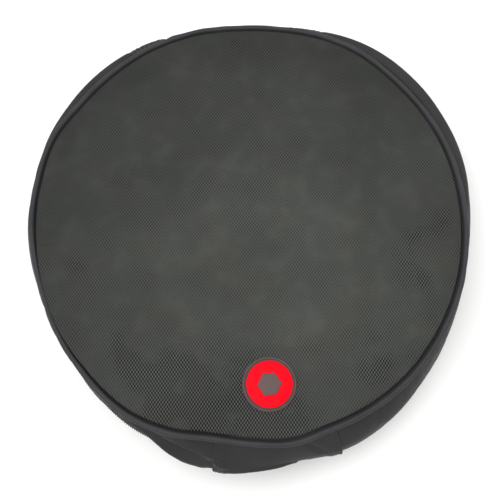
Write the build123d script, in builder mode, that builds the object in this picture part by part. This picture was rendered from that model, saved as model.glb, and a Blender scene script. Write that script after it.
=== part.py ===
"""Round padded drum bag, lying on its back panel, with a zipped lid that opens on a cloth spine.

Origin: centre of the back panel's outer face.  +Z is up, out of the front panel.
The cloth spine is at -Y and the carry handle is at +Y.
"""
from build123d import *

import os
from math import asin, cos, degrees, radians, sin, sqrt

os.makedirs("parts", exist_ok=True)

# ---- overall sizes -------------------------------------------------------------------
panel_radius = 143.0        # seam line of the two round panels
bag_depth = 66.0            # outer face of the back panel to outer face of the front panel
wall_bulge = 12.0           # how far the padded side wall stands out of the panels

# ---- cloth, foam and lining ----------------------------------------------------------
cloth = 1.2
foam = 9.0
lining = 0.8
layer_gap = 0.3             # between the curved layers of the wall, and round each soft piece

# ---- piping --------------------------------------------------------------------------
piping_radius = 1.8
flange_width = 4.0
flange_thickness = 0.8
binding_radius = 1.1        # bound seam inside the two corners

# ---- zip -----------------------------------------------------------------------------
zip_height = 28.0           # middle of the zip above the back face
tape_thickness = 0.8
tape_width = 11.6           # one tape, from its toothed edge into the seam
tape_edge = 1.4             # middle of the zip to the tape's toothed edge
tooth_gap = 0.15            # middle of the zip to the coil
coil_width = 2.75
coil_thickness = 2.4
cloth_to_zip = 4.5          # middle of the zip to the folded edge of the cloth
foam_to_zip = 7.5           # middle of the zip to the edge of the foam
stop_angle = 1.0            # angle that each end stop takes of the wall
stop_gap = 0.25             # angle left free at each side of a stop

# ---- sliders and pullers -------------------------------------------------------------
slider_bearings = {"right": 38.0, "left": 44.0}     # parked places, from +X towards +Y
slider_sides = {"right": 1.0, "left": -1.0}         # which way along the wall the nose points
slider_length = 13.0
slider_width = 10.2
plate_thickness = 1.6
slider_play = 0.4
post_length = 2.0
post_width = 2.0
post_inset = 1.0
post_clearance = 0.5
eye_radius = 1.3
eye_wall = 1.2
bridge_width = 2.6
puller_thickness = 1.6
puller_width = 8.0
puller_length = 22.0
puller_window = 3.6
window_length = 5.0
puller_bar = 0.9
grip_overlap = 12.0
grip_length = 18.0
grip_wall = 1.1

# ---- cloth spine ---------------------------------------------------------------------
spine_bearing = -90.0
spine_half_angle = 15.0
spine_overlap = 3.3         # angle by which the spine laps over each end of the side wall

# ---- handle --------------------------------------------------------------------------
handle_bearing = 90.0
handle_span = 114.0         # between the middles of the two tails
handle_taper = 15.0         # each tail leans in by this much
webbing_width = 18.0
webbing_thickness = 2.0
grip_span = 62.0
grip_edge = 1.1
grip_to_zip = 0.9           # top of the hanging grip to the lower coil
grip_padding = 1.6
grip_corner = 2.0
patch_height = 12.4
patch_to_edge = 6.0         # top of the patch to the top of the wall's cloth
patch_thickness = 3.0
patch_width = 26.6
swing_gap = 0.3             # swing line to the patch, and swing line to the webbing

# ---- badge ---------------------------------------------------------------------------
badge_centre = 109.5        # from the middle of the front panel towards the spine
badge_radius = 16.65
badge_thickness = 1.8
badge_rim = 2.25
badge_recess = 0.8
inlay_thickness = 0.5
boss_radius = 7.6
boss_thickness = 0.6

# ---- values that follow --------------------------------------------------------------
# The side wall is a barrel.  Its layers are arcs about one centre in the (radius, height)
# plane, through the foot of the wall, its widest place at mid depth, and its top.
foot_height = cloth + flange_thickness
half_wall = bag_depth / 2 - 2 * piping_radius
barrel_radius = (half_wall**2 + wall_bulge**2) / (2 * wall_bulge)
barrel_centre = panel_radius + wall_bulge - barrel_radius
mid_height = bag_depth / 2

cloth_in = barrel_radius - cloth
tape_out = cloth_in - layer_gap
tape_in = tape_out - tape_thickness
foam_out = tape_in - layer_gap
foam_in = foam_out - foam
lining_out = foam_in - layer_gap
lining_in = lining_out - lining
spine_in = barrel_radius + layer_gap
spine_out = spine_in + cloth

back_foam_top = cloth + foam
back_lining_top = back_foam_top + lining
front_foam_low = bag_depth - back_foam_top
front_lining_low = bag_depth - back_lining_top
piping_ring = panel_radius + piping_radius

coil_reach = tooth_gap + coil_width
zip_half_angle = spine_half_angle - spine_overlap
stop_start = spine_half_angle + stop_gap
coil_half_angle = stop_start + stop_angle + stop_gap


def wall_radius(layer, height):
    """Radius of one layer of the barrel wall at one height."""
    return barrel_centre + sqrt(layer**2 - (height - mid_height) ** 2)


# The coils stand just clear of the widest place of the tapes that they are sewn to.
widest_height = min(max(mid_height, zip_height - coil_reach), zip_height + coil_reach)
coil_in = wall_radius(cloth_in, widest_height)
coil_out = coil_in + coil_thickness
plate_low = coil_out + slider_play
plate_high = plate_low + plate_thickness
pivot_radius = plate_high + eye_radius + layer_gap


def radial_plane(bearing):
    """Upright plane through the bag's axis: its x is the radius and its y is the height."""
    angle = radians(bearing)
    return Plane((0, 0, 0), x_dir=(cos(angle), sin(angle), 0), z_dir=(sin(angle), -cos(angle), 0))


def level_plane(bearing, radius, height):
    """Level plane at a place on the wall: its x points outwards and its y along the wall."""
    angle = radians(bearing)
    place = (radius * cos(angle), radius * sin(angle), height)
    return Plane(place, x_dir=(cos(angle), sin(angle), 0), z_dir=(0, 0, 1))


def wall_profile(outer, inner, low, high, bearing=0.0):
    """Section of a wall layer between two arcs of the barrel and two heights."""
    with BuildSketch(radial_plane(bearing)) as profile:
        with Locations((barrel_centre, mid_height)):
            Circle(outer)
            Circle(inner, mode=Mode.SUBTRACT)
        with Locations((barrel_centre + outer / 2, (low + high) / 2)):
            Rectangle(outer, high - low, mode=Mode.INTERSECT)
    return profile.sketch


def box_profile(inner, outer, low, high, bearing=0.0):
    """Rectangular section between two radii and two heights."""
    with BuildSketch(radial_plane(bearing)) as profile:
        with Locations(((inner + outer) / 2, (low + high) / 2)):
            Rectangle(outer - inner, high - low)
    return profile.sketch


def finish(part, label):
    """Name a finished piece and write its file."""
    part.label = label
    export_step(part, f"parts/{label}.step")


# ---- round panels: cloth, foam and lining, back and front -----------------------------
foam_radius = min(panel_radius - flange_width, wall_radius(tape_in, foot_height)) - layer_gap
panel_layers = {
    "back_panel": (panel_radius, 0.0, cloth),
    "back_foam": (foam_radius, cloth, back_foam_top),
    "back_lining": (wall_radius(lining_out, back_foam_top), back_foam_top, back_lining_top),
    "face_panel": (panel_radius, bag_depth - cloth, bag_depth),
    "face_foam": (foam_radius, front_foam_low, bag_depth - cloth),
    "face_lining": (wall_radius(lining_out, back_foam_top), front_lining_low, front_foam_low),
}
for label, (radius, low, high) in panel_layers.items():
    with BuildPart() as panel:
        with BuildSketch(Plane.XY.offset(low)):
            Circle(radius)
        extrude(amount=high - low)
    finish(panel.part, label)

# ---- piping in the two corners: round cord with its sewn flange ------------------------
piping_heights = {
    "back_piping": (piping_radius, cloth, foot_height),
    "face_piping": (bag_depth - piping_radius, bag_depth - foot_height, bag_depth - cloth),
}
for label, (height, flange_low, flange_high) in piping_heights.items():
    with BuildPart() as piping:
        with BuildSketch(Plane.XZ):
            with Locations((piping_ring, height)):
                Circle(piping_radius)
            with Locations((panel_radius - flange_width / 2 + piping_radius / 2, (flange_low + flange_high) / 2)):
                Rectangle(flange_width + piping_radius, flange_high - flange_low)
        revolve(axis=Axis.Z)
    finish(piping.part, label)

# ---- bound seams inside the two corners ------------------------------------------------
binding_ring = wall_radius(lining_in, back_lining_top) - binding_radius - layer_gap
binding_heights = {
    "back_seam_binding": back_lining_top + binding_radius,
    "face_seam_binding": front_lining_low - binding_radius,
}
for label, height in binding_heights.items():
    with BuildPart() as binding:
        with BuildSketch(Plane.XZ):
            with Locations((binding_ring, height)):
                Circle(binding_radius)
        revolve(axis=Axis.Z)
    finish(binding.part, label)

# ---- side wall, below and above the zip ------------------------------------------------
cloth_start = spine_bearing + zip_half_angle
cloth_sweep = 360 - 2 * zip_half_angle
shells = {
    "base_gusset_shell": (foot_height, zip_height - cloth_to_zip),
    "lid_gusset_shell": (zip_height + cloth_to_zip, bag_depth - foot_height),
}
for label, (low, high) in shells.items():
    with BuildPart() as shell:
        revolve(
            wall_profile(barrel_radius, cloth_in, low, high, cloth_start),
            axis=Axis.Z,
            revolution_arc=cloth_sweep,
        )
    finish(shell.part, label)

foams = {
    "base_gusset_foam": (back_foam_top, zip_height - foam_to_zip),
    "lid_gusset_foam": (zip_height + foam_to_zip, front_foam_low),
}
for label, (low, high) in foams.items():
    with BuildPart() as ring:
        revolve(wall_profile(foam_out, foam_in, low, high), axis=Axis.Z)
    finish(ring.part, label)

# The lining covers the foam's inner side and turns out over its free edge to the zip tape.
base_edge = zip_height - foam_to_zip
lid_edge = zip_height + foam_to_zip
linings = {
    "base_gusset_lining": (back_lining_top, base_edge + lining, base_edge, base_edge + lining),
    "lid_gusset_lining": (lid_edge - lining, front_lining_low, lid_edge - lining, lid_edge),
}
for label, (low, high, lip_low, lip_high) in linings.items():
    lip_in = wall_radius(lining_out, lip_low) - lining / 2
    lip_out = min(wall_radius(tape_in, lip_low), wall_radius(tape_in, lip_high)) - layer_gap / 2
    with BuildPart() as skin:
        revolve(wall_profile(lining_out, lining_in, low, high), axis=Axis.Z)
        revolve(box_profile(lip_in, lip_out, lip_low, lip_high), axis=Axis.Z)
    finish(skin.part, label)

# ---- zip: two tapes, two coils and the stops at their ends ------------------------------
tapes = {
    "base_zip_tape": (zip_height - tape_edge - tape_width, zip_height - tape_edge),
    "lid_zip_tape": (zip_height + tape_edge, zip_height + tape_edge + tape_width),
}
for label, (low, high) in tapes.items():
    with BuildPart() as tape:
        revolve(
            wall_profile(tape_out, tape_in, low, high, cloth_start),
            axis=Axis.Z,
            revolution_arc=cloth_sweep,
        )
    finish(tape.part, label)

coil_rows = {"base": (-coil_reach, -tooth_gap), "lid": (tooth_gap, coil_reach)}
nose_offset = slider_length / 2 - post_inset - post_length / 2
notch_size = (coil_thickness * 2, post_length + 2 * post_clearance, post_width + 2 * post_clearance)
for side, (low, high) in coil_rows.items():
    start = spine_bearing + coil_half_angle
    with BuildPart() as coil:
        revolve(
            box_profile(coil_in, coil_out, zip_height + low, zip_height + high, start),
            axis=Axis.Z,
            revolution_arc=360 - 2 * coil_half_angle,
        )
        # The coils part round each slider's post.
        for name, bearing in slider_bearings.items():
            nose = level_plane(bearing, (coil_in + coil_out) / 2, zip_height)
            with Locations(nose.location * Location((0, slider_sides[name] * nose_offset, 0))):
                Box(*notch_size, mode=Mode.SUBTRACT)
    finish(coil.part, f"{side}_zip_coil")

    with BuildPart() as stops:
        for start in (spine_bearing + stop_start, spine_bearing - stop_start - stop_angle):
            revolve(
                box_profile(coil_in, coil_out, zip_height + low, zip_height + high, start),
                axis=Axis.Z,
                revolution_arc=stop_angle,
            )
    finish(stops.part, f"{side}_zip_stops")

# ---- cloth spine: outer panel over the two wall ends, and the backing between them -------
spine_layers = {
    "spine_panel": (spine_out, spine_in, spine_half_angle, 2 * piping_radius + layer_gap),
    "spine_backing": (barrel_radius - layer_gap, tape_in + layer_gap, zip_half_angle - stop_gap, foot_height),
}
for label, (outer, inner, half_angle, low) in spine_layers.items():
    with BuildPart() as spine:
        revolve(
            wall_profile(outer, inner, low, bag_depth - low - layer_gap, spine_bearing - half_angle),
            axis=Axis.Z,
            revolution_arc=2 * half_angle,
        )
    finish(spine.part, label)

# ---- sliders: two plates joined by a post at the nose, with a bridge for the puller -------
inner_face = wall_radius(tape_in, zip_height - slider_width / 2) - slider_play
for name, bearing in slider_bearings.items():
    side = slider_sides[name]
    with BuildPart() as slider:
        with BuildSketch(level_plane(bearing, 0, zip_height)):
            with Locations((plate_low + plate_thickness / 2, 0), (inner_face - plate_thickness / 2, 0)):
                Rectangle(plate_thickness, slider_length)
        extrude(amount=slider_width / 2, both=True)
        fillet(slider.edges().filter_by(lambda edge: abs(edge.tangent_at(0).Z) < 0.01
               and abs(edge.length - plate_thickness) < 0.01), radius=2.4)
        with BuildSketch(level_plane(bearing, 0, zip_height)):
            with Locations(((inner_face + plate_low) / 2, side * nose_offset)):
                Rectangle(plate_low - inner_face, post_length)
        extrude(amount=post_width / 2, both=True)
        with BuildSketch(level_plane(bearing, 0, zip_height)):
            with Locations((pivot_radius, 0)):
                Circle(eye_radius + eye_wall)
            with Locations(((plate_high + pivot_radius) / 2, 0)):
                Rectangle(pivot_radius - plate_high, 2 * (eye_radius + eye_wall))
            with Locations((pivot_radius, 0)):
                Circle(eye_radius, mode=Mode.SUBTRACT)
        extrude(amount=bridge_width / 2, both=True)
    finish(slider.part, f"slider_{name}_body")

    # The puller's cross bar turns in the bridge's eye; its tab lies back along the wall.
    lay = -side
    tab_plane = level_plane(bearing, pivot_radius, zip_height)
    with BuildPart() as puller:
        with BuildSketch(tab_plane):
            with Locations((0, lay * puller_length / 2)):
                SlotCenterToCenter(puller_length, puller_thickness, rotation=90)
        extrude(amount=puller_width / 2, both=True)
        with Locations(tab_plane.location * Location((0, lay * (puller_bar + window_length / 2), 0))):
            Box(2 * puller_thickness, window_length, puller_window, mode=Mode.SUBTRACT)
    finish(puller.part, f"slider_{name}_puller")

    grip_middle = lay * (puller_length - grip_overlap + grip_length / 2)
    with BuildPart() as grip:
        with Locations(tab_plane.location * Location((0, grip_middle, 0))):
            Box(puller_thickness + 2 * grip_wall, grip_length, puller_width + 2 * grip_wall)
        fillet(grip.edges(), radius=1.0)
        with BuildSketch(tab_plane):
            with Locations((0, lay * puller_length / 2)):
                SlotCenterToCenter(puller_length, puller_thickness, rotation=90)
        extrude(amount=puller_width / 2, both=True, mode=Mode.SUBTRACT)
    finish(grip.part, f"slider_{name}_grip")

# ---- handle: two sewn patches, a webbing loop that hangs from them, and its grip ----------
patch_high = bag_depth - foot_height - patch_to_edge
patch_low = patch_high - patch_height
swing_height = patch_low - swing_gap
webbing_in = max(wall_radius(barrel_radius + patch_thickness, patch_low), coil_out + layer_gap)
webbing_out = webbing_in + webbing_thickness
grip_height = webbing_width + 2 * grip_edge
grip_middle_height = zip_height - coil_reach - grip_to_zip - grip_height / 2
grip_half_angle = degrees(asin(grip_span / 2 / webbing_in))
patch_half_angle = degrees(asin(patch_width / 2 / webbing_in))
patch_bearing_step = degrees(asin(handle_span / 2 / webbing_in))

with BuildPart() as patches:
    for bearing in (handle_bearing - patch_bearing_step, handle_bearing + patch_bearing_step):
        revolve(
            wall_profile(
                barrel_radius + patch_thickness,
                barrel_radius + layer_gap,
                patch_low,
                patch_high,
                bearing - patch_half_angle,
            ),
            axis=Axis.Z,
            revolution_arc=2 * patch_half_angle,
        )
finish(patches.part, "handle_patches")

loop_points = [
    (-handle_span / 2, swing_height + webbing_width),
    (-handle_span / 2, swing_height - swing_gap),
    (-handle_span / 2 + handle_taper, grip_middle_height),
    (handle_span / 2 - handle_taper, grip_middle_height),
    (handle_span / 2, swing_height - swing_gap),
    (handle_span / 2, swing_height + webbing_width),
]
with BuildPart() as webbing:
    with BuildSketch(Plane.XZ):
        with BuildLine():
            Polyline(loop_points)
        trace(line_width=webbing_width)
    extrude(amount=-2 * webbing_out)
    loop_low = grip_middle_height - webbing_width / 2
    loop_high = swing_height - swing_gap
    with BuildSketch(Plane.XY.offset(loop_low)):
        Circle(webbing_out)
        Circle(webbing_in, mode=Mode.SUBTRACT)
    extrude(amount=loop_high - loop_low, mode=Mode.INTERSECT)
finish(webbing.part, "handle_webbing")

with BuildPart() as handle_grip:
    with BuildSketch(radial_plane(handle_bearing - grip_half_angle)):
        with Locations(((webbing_in + webbing_out) / 2, grip_middle_height)):
            RectangleRounded(webbing_thickness + 2 * grip_padding, grip_height, grip_corner)
            Rectangle(webbing_thickness + 2 * layer_gap, webbing_width + 2 * layer_gap, mode=Mode.SUBTRACT)
    revolve(axis=Axis.Z, revolution_arc=2 * grip_half_angle)
finish(handle_grip.part, "handle_grip")

# ---- badge: moulded rubber base with a raised rim, a colour inlay and a plain boss --------
badge_plane = Plane((0, -badge_centre, bag_depth))
with BuildPart() as badge_base:
    with BuildSketch(badge_plane):
        Circle(badge_radius)
    extrude(amount=badge_thickness)
    with BuildSketch(badge_plane.offset(badge_thickness - badge_recess)):
        Circle(badge_radius - badge_rim)
    extrude(amount=badge_recess, mode=Mode.SUBTRACT)
    fillet(badge_base.faces().sort_by(Axis.Z)[-1].edges(), radius=0.6)
finish(badge_base.part, "badge_base")

inlay_plane = badge_plane.offset(badge_thickness - badge_recess)
with BuildPart() as badge_inlay:
    with BuildSketch(inlay_plane):
        Circle(badge_radius - badge_rim)
    extrude(amount=inlay_thickness)
finish(badge_inlay.part, "badge_inlay")

with BuildPart() as badge_boss:
    with BuildSketch(inlay_plane.offset(inlay_thickness)):
        RegularPolygon(boss_radius, 6)
    extrude(amount=boss_thickness)
finish(badge_boss.part, "badge_boss")
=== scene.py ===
"""Looks of a round padded drum bag: woven front, piped edges, and a zipped lid on a cloth spine.

Every length is in metres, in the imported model's own frame.  +Z is up, out of the front panel,
the cloth spine is at -Y and the carry handle at +Y.  Bearings are in degrees, from +X towards +Y.
"""

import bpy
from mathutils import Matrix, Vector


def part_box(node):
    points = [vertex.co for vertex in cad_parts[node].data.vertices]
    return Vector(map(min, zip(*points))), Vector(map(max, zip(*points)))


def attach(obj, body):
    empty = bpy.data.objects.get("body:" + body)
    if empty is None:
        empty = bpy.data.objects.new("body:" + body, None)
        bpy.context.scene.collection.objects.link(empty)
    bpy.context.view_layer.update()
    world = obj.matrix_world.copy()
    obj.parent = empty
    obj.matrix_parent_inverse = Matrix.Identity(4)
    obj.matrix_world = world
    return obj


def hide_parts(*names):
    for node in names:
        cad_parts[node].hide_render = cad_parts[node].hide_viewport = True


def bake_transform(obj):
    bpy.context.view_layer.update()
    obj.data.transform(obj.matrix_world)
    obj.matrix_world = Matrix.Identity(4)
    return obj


bl_info = {
    "name": "Padded drum bag",
    "version": (1, 0, 0),
    "blender": (4, 5, 0),
    "location": "View3D > Sidebar > Drum bag",
    "description": "Builds the sewn, padded and moulded pieces of a round drum bag",
    "category": "Object",
}

import math

import bmesh
import bpy
import numpy as np
from bpy.props import FloatProperty, FloatVectorProperty, IntProperty, PointerProperty
from mathutils import Vector

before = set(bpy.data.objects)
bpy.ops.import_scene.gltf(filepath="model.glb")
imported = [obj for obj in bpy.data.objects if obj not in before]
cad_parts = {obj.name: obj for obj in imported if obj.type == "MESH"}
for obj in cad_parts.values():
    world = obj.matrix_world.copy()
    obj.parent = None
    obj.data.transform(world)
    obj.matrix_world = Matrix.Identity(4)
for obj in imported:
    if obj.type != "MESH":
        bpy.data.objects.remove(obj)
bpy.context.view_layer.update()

# ---- sizes read from the frame ----
MM = 0.001
panel_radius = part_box("face_panel")[1].x
bag_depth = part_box("face_panel")[1].z
cloth = bag_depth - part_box("face_panel")[0].z
mid_height = bag_depth / 2
piping_radius = (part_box("face_piping")[1].x - panel_radius) / 2
piping_ring = panel_radius + piping_radius
wall_reach = round(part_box("lid_gusset_shell")[1].x, 4)
wall_bulge = wall_reach - panel_radius
half_wall = mid_height - 2 * piping_radius
barrel_radius = (half_wall**2 + wall_bulge**2) / (2 * wall_bulge)
barrel_centre = wall_reach - barrel_radius
zip_height = (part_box("base_zip_coil")[1].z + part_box("lid_zip_coil")[0].z) / 2
coil_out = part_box("lid_zip_coil")[1].x
coil_thickness = 2.4 * MM
badge_low, badge_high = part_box("badge_base")
badge_middle = (badge_low + badge_high) / 2
badge_radius = (badge_high.x - badge_low.x) / 2
layer_gap = 0.3 * MM
seam_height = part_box("face_piping")[0].z - 0.2 * MM
rim_share = 1 - 1.2 * MM / panel_radius     # the front turns down this close to its own radius

SPINE = -90.0
HANDLE = 90.0
spine_low, spine_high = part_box("spine_panel")
spine_half = 15.0               # half the angle that the spine panel takes of the wall
wall_end = spine_half - 3.3     # the wall's cloth stops under the spine panel
coil_end = spine_half + 1.5     # the coils stop here, outside the spine panel
stop_middle = spine_half + 0.75
stop_half = 0.48                # half the angle that a crimped stop takes
view_azimuth = -6.4             # the front's weave runs square to this direction


def linear(code):
    """sRGB hex colour as the linear values that Blender's sockets take."""
    values = [int(code[i:i + 2], 16) / 255 for i in (0, 2, 4)]
    return tuple(v / 12.92 if v <= 0.04045 else ((v + 0.055) / 1.055) ** 2.4 for v in values)


# ---- what a user would change ----
def length(name, description, default):
    return FloatProperty(name=name, description=description, default=default, unit="LENGTH", precision=5)


def colour(name, description, code):
    return FloatVectorProperty(name=name, description=description, default=linear(code),
                               subtype="COLOR", size=3, min=0, max=1)


class BagSizes(bpy.types.PropertyGroup):
    """Sizes of the soft shapes, the sewing and the weave."""

    face_dome: length("Front crown", "Rise of the front's middle over its flat badge place", 1.2 * MM)
    face_tuck: length("Front tuck", "How far the front turns down into the piping seam", 5.0 * MM)
    ripple_cap: length("Cloth ripple", "Furthest that the simulated cloth stands off its form", 1.3 * MM)
    weave_across: length("Weave across", "Thread spacing of the front across the bag", 0.98 * MM)
    weave_along: length("Weave along", "Thread spacing of the front from handle to spine", 1.41 * MM)
    stitch_length: length("Stitch", "Length of one stitch", 3.0 * MM)
    stitch_gap: length("Stitch gap", "Gap between two stitches", 0.8 * MM)
    thread_radius: length("Thread", "Radius of the sewing thread", 0.22 * MM)
    tooth_pitch: length("Tooth pitch", "Distance from one turn of the zip's coil to the next", 1.6 * MM)
    monofilament: length("Coil wire", "Radius of the coil's nylon wire", 0.42 * MM)
    lens: FloatProperty(name="Lens", description="Focal length of the camera in millimetres", default=46.6)
    light: FloatProperty(name="Light", description="Strength of the soft lights", default=1.0, min=0)
    round_steps: IntProperty(name="Steps round", description="Sections round the bag", default=720, min=90)


class BagColours(bpy.types.PropertyGroup):
    """Colours of the cloths, rubber and metal."""

    face_thread: colour("Front thread", "Lit side of the front's threads", "434542")
    face_hole: colour("Front hole", "Shade between the front's threads", "050505")
    wall_cloth: colour("Wall cloth", "Cloth of the wall and spine", "2f2f30")
    piping_cloth: colour("Piping", "Cloth round the piping cord", "343436")
    lining: colour("Lining", "Cloth inside the bag", "35363a")
    foam: colour("Foam", "Padding between cloth and lining", "3b3c3e")
    tape: colour("Zip tape", "Woven tape of the zip", "2f3032")
    coil: colour("Zip coil", "Nylon wire of the zip", "242527")
    enamel: colour("Slider enamel", "Baked paint on the sliders", "1d1e20")
    bare_metal: colour("Bare zinc", "Metal where the paint has worn", "9a9a97")
    rubber: colour("Grip rubber", "Moulded grips", "2b2b2c")
    webbing: colour("Webbing", "Woven strap of the handle", "333436")
    thread: colour("Thread", "Sewing thread", "1f1f20")
    badge: colour("Badge rubber", "Rim and mark of the badge", "564343")
    badge_field: colour("Badge field", "Coloured field of the badge", "ee0018")
    floor: colour("Floor", "Plain pale floor", "f4f4f3")


def sizes():
    return bpy.context.scene.drum_bag_sizes


def colours():
    return bpy.context.scene.drum_bag_colours


# ---- form of the bag ----
def away(bearing, middle):
    """Signed angle from middle to bearing, in degrees."""
    return (bearing - middle + 180) % 360 - 180


def hill(distance, half_width):
    """1 at no distance, falling smoothly to 0 at half_width."""
    t = np.clip(np.abs(distance) / half_width, 0, 1)
    return (1 - t * t) ** 2


def ramp(value, low, high):
    """0 below low, 1 above high, smooth between."""
    t = np.clip((value - low) / (high - low), 0, 1)
    return t * t * (3 - 2 * t)


# Each hill is a bearing, its half width in degrees and its height in metres.
SEAM_HILLS = (
    (-127, 20, 2.9 * MM), (-104, 12, -1.9 * MM), (-86, 9, 1.7 * MM), (-150, 16, 0.9 * MM),
    (-56, 24, 0.7 * MM), (-6, 24, -0.7 * MM), (54, 20, 2.1 * MM), (84, 16, -1.3 * MM),
    (132, 22, -0.9 * MM), (-178, 20, -0.8 * MM), (151, 13, 1.7 * MM),
)
# The lid's wall rolls out under the piping here.
LID_ROLLS = ((38, 48, 9.3 * MM), (125, 44, 6.0 * MM), (83, 20, 2.0 * MM), (4, 22, 1.8 * MM))
# The handle's two patches are sewn down hard, so they sit flush in the wall at these bearings.
PATCH_SEATS = (68.6, 111.4)
PATCH_DEPTH = 1.5 * MM
# The lid's wall hangs out over the zip or in from it here, and the whole wall leans in there.
LID_HANGS = (
    (-67, 24, 5.3 * MM), (-77, 13, 1.8 * MM), (-103, 20, 7.0 * MM), (-99, 7, 1.0 * MM),
    (-127, 12, -3.4 * MM), (-88, 8, 1.7 * MM),
)
WALL_LEANS = ((-24, 24, -2.6 * MM), (-158, 34, -7.0 * MM))
# The front's piping rolls in under its edge here.
PIPING_TUCKS = ((-162, 26, 2.5 * MM), (-140, 14, 0.4 * MM))
# Folds in the wall run from one (bearing, height) to another, with a half width and a depth;
# a negative depth is a ridge.
FOLDS = (
    ((-129, 54 * MM), (-105.5, 46 * MM), 6 * MM, 6.5 * MM),
    ((-134, 50 * MM), (-108, 38 * MM), 6 * MM, -2.4 * MM),
    ((-133, 43 * MM), (-108, 33 * MM), 4.5 * MM, 3.2 * MM),
    ((-104.5, 51 * MM), (-86, 42.5 * MM), 2.4 * MM, -2.0 * MM),
    ((-104.5, 47 * MM), (-84, 38.5 * MM), 4 * MM, 2.4 * MM),
    ((-84, 62 * MM), (-79, 50 * MM), 3 * MM, 1.2 * MM),
)


def wave(bearing, times, phase=0):
    """A wave that runs this many times round the bag."""
    return np.sin(np.radians(bearing) * times + phase)


def hills(bearing, rows):
    """Sum of a tuple of hills round the bag."""
    return sum(height * hill(away(bearing, middle), width) for middle, width, height in rows)


def fold_shift(bearing, height):
    """How far the folds of the wall push it inwards at a place."""
    total = 0 * bearing * height
    for (b0, h0), (b1, h1), width, depth in FOLDS:
        along = np.radians(away(bearing, b0)) * wall_reach
        span = np.array((math.radians(b1 - b0) * wall_reach, h1 - h0))
        share = np.clip((along * span[0] + (height - h0) * span[1]) / (span @ span), 0, 1)
        off = np.hypot(along - share * span[0], height - h0 - share * span[1])
        fade = ramp(share, 0, 0.25) * (1 - 0.5 * ramp(share, 0.8, 1))
        total = total + depth * hill(off, width) * fade
    return total


def loose_share(layer):
    """1 for the outer cloth, which hangs loose in the rolls, and 0 for the padding under it."""
    return 1 - ramp(-layer, 2.4 * MM, 3.2 * MM)


def wall_shift(bearing, height, layer=0.0):
    """How far the soft wall stands out of its plain barrel form at a place."""
    seam = hills(bearing, SEAM_HILLS) * ramp(height, 42 * MM, 63 * MM)
    rise = np.clip((height - 34 * MM) / (27.5 * MM), 0, 1)
    roll = hills(bearing, LID_ROLLS) * np.sin(np.pi * rise**1.9) ** 0.9 * loose_share(layer)
    seat = sum(1 - ramp(np.abs(away(bearing, middle)), 3.6, 7.0) for middle in PATCH_SEATS)
    seat = 0.95 * PATCH_DEPTH * seat * ramp(height, 42 * MM, 47 * MM)
    seat = seat * (1 - ramp(height, 57 * MM, 60 * MM))
    lean = hills(bearing, WALL_LEANS) * ramp(height, 3 * MM, 26 * MM)
    lean = lean + hills(bearing, LID_HANGS) * ramp(height, 31 * MM, 39 * MM)
    lean = lean * (1 - ramp(height, 46 * MM, 63 * MM))
    slack = 0.5 * MM * wave(bearing, 7, 1.3) * hill(height - 13 * MM, 9 * MM)
    sewn = ramp(height, 33 * MM, 38 * MM) * (1 - ramp(height, 60 * MM, 63.5 * MM))
    return seam + roll + lean + slack - seat - fold_shift(bearing, height) * sewn


def wall_lift(bearing, height, layer):
    """How far a roll lifts its cloth, and drops it into the crevice between the roll and the piping."""
    share = np.maximum(hills(bearing, LID_ROLLS), 0) / (10 * MM) * loose_share(layer)
    lifted = 4.2 * hill(height - 55.0 * MM, 4.6 * MM)
    dropped = 5.2 * hill(height - 60.2 * MM, 2.1 * MM)
    return share * MM * (lifted - dropped)


def unit(vectors):
    """The vectors with their length made 1."""
    return vectors / np.linalg.norm(vectors, axis=-1, keepdims=True)


def polar(bearing, radius, height):
    """Points at a bearing, radius and height, as an array whose last axis is x, y, z."""
    angle = np.radians(bearing)
    return np.stack(np.broadcast_arrays(radius * np.cos(angle), radius * np.sin(angle), height), -1)


def wall_radius(layer, height):
    """Radius of the plain barrel at a height; layer is how far outside the wall's cloth."""
    return barrel_centre + np.sqrt((barrel_radius + layer) ** 2 - (height - mid_height) ** 2)


def wall_place(bearing, height, layer):
    """Point on the soft wall; layer is how far outside the wall's cloth it lies."""
    radius = wall_radius(layer, height) + wall_shift(bearing, height, layer)
    return polar(bearing, radius, height + wall_lift(bearing, height, layer))


def front_height(x, y):
    """Height of the front's outer face over the middle of the bag, without its ripples."""
    size = sizes()
    bearing = np.degrees(np.arctan2(y, x))
    share = np.hypot(x, y) / (panel_radius + hills(bearing, SEAM_HILLS))
    crown = size.face_dome * (1 - 1.1 * share**2) + 1.0 * MM * hill(share - 0.88, 0.16)
    flat = ramp(np.hypot(x, y - badge_middle.y), badge_radius, badge_radius + 14 * MM)
    tuck = size.face_tuck * ramp(share, 0.9845, rim_share)
    crease = 0.9 * MM * hill(y + 4.4 * MM + 0.02 * x, 2.6 * MM) * ramp(-x, 100 * MM, 132 * MM)
    return bag_depth + crown * flat - 0.15 * MM - tuck - crease


# ---- mesh helpers ----
def in_scene(item):
    """Link a new object to the scene."""
    bpy.context.scene.collection.objects.link(item)
    return item


def finished(name, points, faces, uv=None, sharp=40):
    """An object from points and faces, smooth but for edges sharper than the angle.

    uv holds one pair of cloth coordinates, in metres, for each corner of each face.
    """
    mesh = bpy.data.meshes.new(name)
    mesh.from_pydata([tuple(p) for p in points], [], [tuple(f) for f in faces])
    if uv is not None:
        mesh.uv_layers.new(name="cloth").uv.foreach_set("vector", np.asarray(uv, np.float32).ravel())
    work = bmesh.new()
    work.from_mesh(mesh)
    bmesh.ops.recalc_face_normals(work, faces=work.faces)
    work.to_mesh(mesh)
    work.free()
    mesh.polygons.foreach_set("use_smooth", np.ones(len(mesh.polygons), bool))
    mesh.set_sharp_from_angle(angle=math.radians(sharp))
    return in_scene(bpy.data.objects.new(name, mesh))


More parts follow.
